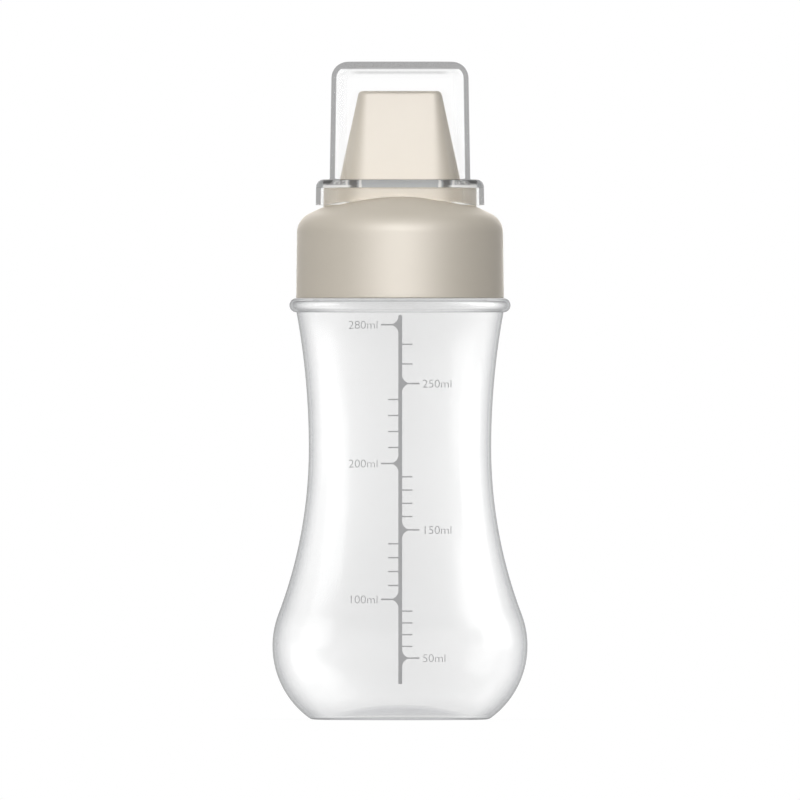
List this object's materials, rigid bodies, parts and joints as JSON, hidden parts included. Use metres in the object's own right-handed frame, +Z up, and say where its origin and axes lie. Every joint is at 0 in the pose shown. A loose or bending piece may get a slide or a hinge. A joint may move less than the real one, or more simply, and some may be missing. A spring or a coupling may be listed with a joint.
{
  "type": "condiment squeeze bottle",
  "caption": "Waisted translucent squeeze bottle with a domed screw cap, a long-oval nozzle with a row of outlets, and a clear pull-off cover over the nozzle.",
  "frame": {"origin": "centre of the base, on the surface that the bottle stands on", "axes": "+Z up along the bottle; the long side of the nozzle lies along X"},
  "size_m": [0.0724, 0.0722, 0.1865],
  "materials": {
    "bottle_plastic": "translucent satin soft plastic",
    "seal_rubber": "pale soft rubber",
    "cap_plastic": "satin beige moulded plastic",
    "nozzle_plastic": "satin beige moulded plastic",
    "cover_plastic": "clear polished plastic"
  },
  "bodies": {
    "bottle": {"bottle_body": "bottle_plastic"},
    "seal": {"seal_ring": "seal_rubber"},
    "cap": {"screw_cap": "cap_plastic", "nozzle": "nozzle_plastic"},
    "cover": {"dust_cover": "cover_plastic"}
  },
  "joints": [
    {"name": "cap_rise", "type": "slide", "parent": "bottle", "child": "seal", "axis": [0, 0, 1], "range_m": [0, 0.0084]},
    {"name": "cap_turn", "type": "hinge", "parent": "seal", "child": "cap", "pos_m": [0, 0, 0.13], "axis": [0, 0, 1], "range_deg": [0, 720]},
    {"name": "cover_lift", "type": "slide", "parent": "cap", "child": "cover", "axis": [0, 0, 1], "range_m": [0, 0.045]}
  ],
  "couplings": [
    {"joint": "cap_rise", "follows": "cap_turn", "m_per_rad": 0.00066845}
  ]
}
